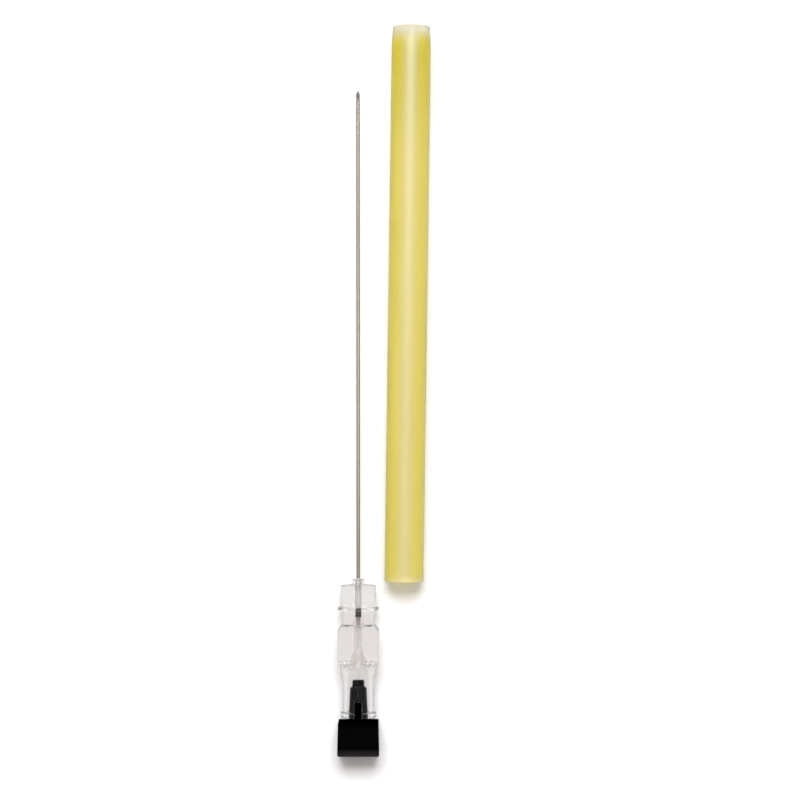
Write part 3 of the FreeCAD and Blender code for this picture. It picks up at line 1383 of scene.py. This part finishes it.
@dataclass
class StyletCap:
    """Black cap with its plug in the hub's socket and its key in the hub's notch."""

    plan: NeedlePlan
    lathe: Lathe
    stand_off: float = 0.85 * MM
    length: float = 6.2 * MM
    front_width: float = 7.4 * MM
    rear_width: float = 7.7 * MM
    height: float = 7.5 * MM
    corner: float = 0.35 * MM
    rear_round: float = 1.5 * MM
    side_round: float = 0.35 * MM
    front_round: float = 0.1 * MM
    plug_length: float = 7.15 * MM
    plug_root: float = 3.5 * MM
    plug_front: float = 3.02 * MM
    plug_shoulder: float = 0.3 * MM
    tip_length: float = 1.4 * MM
    tip_diameter: float = 2.2 * MM
    tip_round: float = 0.3 * MM
    shoulder_round: float = 0.1 * MM
    spigot_round: float = 0.08 * MM
    key_width: float = 1.1 * MM
    key_depth: float = 2.95 * MM
    key_top: float = 2.775 * MM
    easing: float = 0.06 * MM
    steps_round: int = 96
    corner_steps: int = 10
    roll_steps: int = 14
    front_steps: int = 5
    side_steps: int = 6
    wall_rings: int = 6
    wall_start: float = 1.5

    def section(self, half_width: float, half_height: float, corner: float) -> np.ndarray:
        """Points round one section of the cap.

        Args:
            half_width: Half of its width.
            half_height: Half of its height.
            corner: Radius of its corners.

        Returns:
            Points as across and upward distance from the axis.
        """
        points = []
        for quarter in range(4):
            side = math.cos(math.pi / 4 + quarter * math.pi / 2)
            rise = math.sin(math.pi / 4 + quarter * math.pi / 2)
            middle = (
                math.copysign(half_width - corner, side),
                math.copysign(half_height - corner, rise),
            )
            for step in range(self.corner_steps + 1):
                angle = (quarter + step / self.corner_steps) * math.pi / 2
                points.append((middle[0] + corner * math.cos(angle), middle[1] + corner * math.sin(angle)))
        return np.array(points)

    def block(self) -> bpy.types.Object:
        """Block that widens rearwards, with rolled rear edges.

        Returns:
            The piece.
        """
        front = self.plan.mouth - self.stand_off
        wall = (self.front_round * self.wall_start, self.length - self.rear_round)
        depths = [
            *(self.front_round * (1 - math.cos(math.pi / 2 * k / self.front_steps))
              for k in range(self.front_steps + 1)),
            *np.linspace(*wall, self.wall_rings).tolist(),
            *(self.length - self.rear_round * (1 - math.sin(math.pi / 2 * k / self.roll_steps))
              for k in range(1, self.roll_steps)),
            *(self.length - self.side_round * (1 - math.sin(math.pi / 2 * k / self.side_steps))
              for k in range(self.side_steps + 1)),
        ]
        rings = []
        for depth in sorted(depths):
            half_width = (self.front_width + (self.rear_width - self.front_width) * depth / self.length) / 2
            half_height = self.height / 2
            front_pull = self.pull_in(depth, self.front_round)
            left = self.length - depth
            across = half_width - front_pull - self.pull_in(left, self.side_round)
            upward = half_height - front_pull - self.pull_in(left, self.rear_round)
            flat = self.section(across, upward, self.corner - front_pull)
            stations = np.full((len(flat), 1), front - depth)
            rings.append(np.hstack([stations, flat + np.array([0.0, self.plan.axis])]))
        name = "stylet_cap_moulding"
        return mesh_object(name, skin_rings(name, np.array(rings), closed=False))

    @staticmethod
    def pull_in(depth: float, radius: float) -> float:
        """How far a rounded edge draws a face in.

        Args:
            depth: Distance from the end face.
            radius: Radius of the edge.

        Returns:
            The distance.
        """
        if depth >= radius:
            return 0.0
        return radius - math.sqrt(max(radius**2 - (radius - depth) ** 2, 0.0))

    def plug(self, material: bpy.types.Material) -> bpy.types.Object:
        """Tapered plug with its spigot.

        Args:
            material: Its finish.

        Returns:
            The plug.
        """
        root = self.plan.mouth - self.stand_off - self.rear_round
        tip = self.plan.mouth + self.plug_length
        shoulder = tip - self.tip_length
        corners = [
            Corner(root, 0.0),
            Corner(root, self.plug_root / 2),
            Corner(self.plan.mouth, self.plug_root / 2),
            Corner(shoulder - self.plug_shoulder, self.plug_front / 2, self.shoulder_round),
            Corner(shoulder, self.tip_diameter / 2, self.spigot_round),
            Corner(tip, self.tip_diameter / 2, self.tip_round),
            Corner(tip, 0.0),
        ]
        stations = Outliner().trace(corners, closed=False)
        return self.lathe.turn("plug", stations, self.steps_round, self.plan.axis, material)

    def build(self, finish: BlackPlastic) -> bpy.types.Object:
        """Builds and dresses the cap.

        Args:
            finish: Its plastic.

        Returns:
            The piece.
        """
        material = finish.material()
        piece = self.block()
        combine(piece, self.plug(material), "UNION")
        axis = self.plan.axis
        key = eased_box(
            "key",
            Vector((self.plan.mouth - self.stand_off - self.front_round * 2, -self.key_width / 2, axis)),
            Vector((self.plan.mouth + self.key_depth, self.key_width / 2, axis + self.key_top)),
            self.easing,
        )
        combine(piece, key, "UNION")
        piece.data.materials.clear()
        piece.data.materials.append(material)
        finish_mesh(piece.data)
        join_body(piece, Body.STYLET, "stylet_cap")
        return piece


@dataclass
class Sheath:
    """Thin tube, open at both ends, lying at a small angle to the needle."""

    lathe: Lathe
    bore: float = 6.55 * MM
    outside: float = 7.19 * MM
    length: float = 102.2 * MM
    turn: float = math.radians(-0.82)
    rim_round: float = 0.12 * MM
    nip: float = 0.13 * MM
    nip_length: float = 3.5 * MM
    longest_run: float = 8.0 * MM
    steps_round: int = 192

    def build(self, finish: YellowPlastic) -> bpy.types.Object:
        """Builds and dresses the sheath.

        Args:
            finish: Its plastic.

        Returns:
            The piece.
        """
        inner = self.bore / 2
        outer = self.outside / 2
        half = self.length / 2
        corners = [
            Corner(-half, inner, self.rim_round),
            Corner(-half, outer, self.rim_round),
            Corner(half - self.nip_length, outer, self.length / 2),
            Corner(half, outer - self.nip, self.rim_round),
            Corner(half, inner - self.nip, self.rim_round),
            Corner(half - self.nip_length, inner, self.length / 2),
        ]
        stations = Outliner(longest=self.longest_run).trace(corners, closed=True)
        stations.append(stations[0])
        low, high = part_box("sheath")
        middle = (low + high) / 2
        material = finish.material(middle, self.turn)
        piece = self.lathe.turn("sheath_tube", stations, self.steps_round, 0.0, material)
        piece.data.transform(Matrix.Translation(middle) @ Matrix.Rotation(self.turn, 4, "Z"))
        finish_mesh(piece.data)
        join_body(piece, Body.NEEDLE, "sheath")
        return piece


# Studio


@dataclass(frozen=True)
class SoftBox:
    """Rectangular studio light."""

    name: str
    place: Colour
    aim: Colour
    size: Point
    watts: float

    def build(self) -> bpy.types.Object:
        """Hangs the light.

        Returns:
            The lamp.
        """
        lamp = bpy.data.lights.new(self.name, "AREA")
        lamp.shape = "RECTANGLE"
        lamp.size, lamp.size_y = self.size
        lamp.energy = self.watts
        made = bpy.data.objects.new(self.name, lamp)
        bpy.context.scene.collection.objects.link(made)
        made.location = self.place
        made.rotation_euler = (Vector(self.aim) - Vector(self.place)).to_track_quat("-Z", "Y").to_euler()
        return made


@dataclass
class Studio:
    """White floor, soft light high and ahead of the point, and a camera straight above."""

    plan: NeedlePlan
    image_pixels: float = 800.0
    pixels_per_metre: float = 5430.0
    nose_pixel: float = 579.2
    axis_pixel: float = 358.15
    camera_height: float = 450.0 * MM
    camera_roll: float = math.radians(-0.04)
    camera_clip: Point = (0.01, 10.0)
    sensor: float = 36.0
    key: SoftBox = SoftBox("key_light", (0.38, 0.0, 0.62), (0.045, -0.005, 0.0), (0.4, 0.3), 5.44)
    floor_half: float = 1.2
    floor_drop: float = 0.01 * MM
    floor_albedo: float = 0.88
    seen_lift: float = 0.06
    through_lift: float = 0.9
    mirrored_share: Point = (0.65, 0.15)
    mirrored_reach: Point = (4.0 * MM, 25.0 * MM)
    sky_tint: Colour = (1.0, 0.955, 0.94)
    low_sky: tuple[Point, ...] = ((0.0, 0.1), (0.35, 0.25), (0.7, 0.33), (0.95, 0.05))
    through_sky: float = 0.75
    panel_along: tuple[Point, ...] = (
        (-0.108, 0.0), (-0.08, 0.26), (-0.06, 0.42), (-0.03, 0.6), (0.04, 0.66),
        (0.1, 0.35), (0.16, 0.35), (0.28, 0.7), (0.5, 0.7), (0.68, 0.1),
    )
    panel_across: tuple[Point, ...] = ((0.15, 1.0), (0.75, 0.0))
    panel_strength: float = 2.8

    def camera(self) -> None:
        """Places the camera so that the needle falls where the photograph has it."""
        lens = bpy.data.cameras.new("camera")
        view = self.image_pixels / self.pixels_per_metre
        lens.sensor_width = self.sensor
        lens.lens = self.sensor * self.camera_height / view
        lens.clip_start, lens.clip_end = self.camera_clip
        made = bpy.data.objects.new("camera", lens)
        bpy.context.scene.collection.objects.link(made)
        middle = self.image_pixels / 2
        x = self.plan.nose + (self.nose_pixel - middle) / self.pixels_per_metre
        y = (self.axis_pixel - middle) / self.pixels_per_metre
        made.location = (x, y, self.plan.axis + self.camera_height)
        made.rotation_euler = Euler((0.0, 0.0, self.camera_roll - math.pi / 2))
        bpy.context.scene.camera = made

    def floor(self) -> None:
        """Lays the floor, white to the camera but with the object's shadow."""
        half = self.floor_half
        mesh = bpy.data.meshes.new("floor")
        corners = [(-half, -half, 0.0), (half, -half, 0.0), (half, half, 0.0), (-half, half, 0.0)]
        mesh.from_pydata(corners, [], [(0, 1, 2, 3)])
        floor = mesh_object("floor", mesh)
        floor.location.z = -self.floor_drop
        floor.data.materials.append(self.floor_material())
        floor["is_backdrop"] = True

    def floor_material(self) -> bpy.types.Material:
        """White matt floor that is lifted to the photograph's background where it is seen.

        Returns:
            The material.
        """
        shader = Shader("white_floor")
        shader.set(Base_Color=(self.floor_albedo,) * 3, Roughness=1.0, Specular_IOR_Level=0.0)
        path = shader.node("ShaderNodeLightPath").outputs
        white = shader.node("ShaderNodeEmission")
        dark = shader.node("ShaderNodeEmission")
        dark.inputs["Strength"].default_value = 0.0
        seen = shader.joined("MULTIPLY", path["Is Camera Ray"], self.seen_lift)
        lift = shader.joined("MULTIPLY_ADD", path["Is Transmission Ray"], self.through_lift, seen)
        reflected = shader.joined("GREATER_THAN", path["Is Glossy Ray"], path["Is Transmission Ray"])
        mirrored = shader.joined("MULTIPLY", reflected, self.mirror_loss(shader))
        lifted = shader.mixed(lift, shader.surface, white)
        dimmed = shader.mixed(mirrored, lifted, dark)
        shader.links.new(dimmed.outputs[0], shader.output.inputs["Surface"])
        return shader.material

    def mirror_loss(self, shader: Shader) -> Socket:
        """Share of its light that the floor keeps from mirrored rays, by the distance from the object.

        Args:
            shader: The floor's material in the making.

        Returns:
            The share.
        """
        low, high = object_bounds()
        centre, half = (low + high) / 2, (high - low) / 2
        offset = shader.node("ShaderNodeVectorMath", operation="ABSOLUTE")
        shader.links.new(shader.place((1.0, 1.0, 0.0), (-centre.x, -centre.y, 0.0)), offset.inputs[0])
        outside = shader.node("ShaderNodeVectorMath", operation="SUBTRACT")
        outside.inputs[1].default_value = (half.x, half.y, 0.0)
        shader.links.new(offset.outputs[0], outside.inputs[0])
        split = shader.node("ShaderNodeSeparateXYZ")
        shader.links.new(outside.outputs[0], split.inputs[0])
        apart = shader.joined("MAXIMUM", split.outputs["X"], split.outputs["Y"])
        losses = (1.0 - self.mirrored_share[0], 1.0 - self.mirrored_share[1])
        return shader.span(apart, self.mirrored_reach, losses)

    def world(self) -> None:
        """Surrounds the object with soft light: weak at the horizon, and strongest past the point."""
        world = bpy.data.worlds.new("studio")
        world.use_nodes = True
        tree = world.node_tree
        background = tree.nodes["Background"]
        background.inputs["Color"].default_value = (*self.sky_tint, 1.0)
        source = tree.nodes.new("ShaderNodeTexCoord")
        split = tree.nodes.new("ShaderNodeSeparateXYZ")
        tree.links.new(source.outputs["Generated"], split.inputs["Vector"])
        path = tree.nodes.new("ShaderNodeLightPath")
        low = self.curve(tree, split.outputs["Z"], self.low_sky)
        along = self.curve(tree, split.outputs["X"], self.panel_along)
        across = self.curve(tree, add_sum(tree, "ABSOLUTE", split.outputs["Y"]), self.panel_across)
        above = add_sum(tree, "GREATER_THAN", split.outputs["Z"], 0.0)
        panel = add_sum(tree, "MULTIPLY", add_sum(tree, "MULTIPLY", along, across), above)
        through = add_sum(tree, "MULTIPLY", path.outputs["Is Transmission Ray"], self.through_sky)
        low = add_sum(tree, "MAXIMUM", low, through)
        total = add_sum(tree, "MULTIPLY_ADD", panel, self.panel_strength, low)
        tree.links.new(total, background.inputs["Strength"])
        bpy.context.scene.world = world

    @staticmethod
    def curve(tree: bpy.types.NodeTree, value: Socket, points: Sequence[Point]) -> Socket:
        """Runs a value through straight pieces between points.

        Args:
            tree: The world's nodes.
            value: The value, between -1 and 1.
            points: Pairs of value and result.

        Returns:
            The result.
        """
        made = tree.nodes.new("ShaderNodeFloatCurve")
        mapping = made.mapping
        mapping.clip_min_x = -1.0
        line = mapping.curves[0]
        line.points[0].location = (-1.0, points[0][1])
        line.points[-1].location = (1.0, points[-1][1])
        for place, level in points:
            line.points.new(place, level).handle_type = "VECTOR"
        mapping.update()
        tree.links.new(value, made.inputs["Value"])
        return made.outputs["Value"]

    def build(self) -> None:
        """Builds the studio."""
        self.floor()
        self.world()
        self.key.build()
        self.camera()
        bpy.context.scene.view_settings.view_transform = "Standard"
        log.info("studio ready")


def main() -> None:
    """Builds the pieces in order, then the studio."""
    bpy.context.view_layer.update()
    plan = NeedlePlan()
    lathe = Lathe()
    grinder = Grinder()
    bevel = Bevel()
    Hub(plan).build(ClearPlastic())
    Bead(plan, lathe).build(Adhesive())
    ground = GroundSteel()
    steel = DrawnSteel(band=(plan.cannula_rear, plan.land_rear, plan.land_front))
    tube = GroundBar(plan, lathe, grinder, bevel, plan.cannula_rear, plan.cannula_diameter / 2,
                     plan.cannula_bore / 2)
    join_body(tube.build("cannula_tube", steel, ground), Body.NEEDLE, "cannula")
    wire = GroundBar(plan, lathe, grinder, bevel, plan.wire_rear, plan.wire_diameter / 2)
    bar = wire.build("stylet_bar", WireSteel(sleeved=plan.sleeved), ground)
    join_body(bar, Body.STYLET, "stylet_wire")
    StyletCap(plan, lathe).build(BlackPlastic())
    Sheath(lathe).build(YellowPlastic())
    Studio(plan).build()


if __name__ == "__main__":
    main()
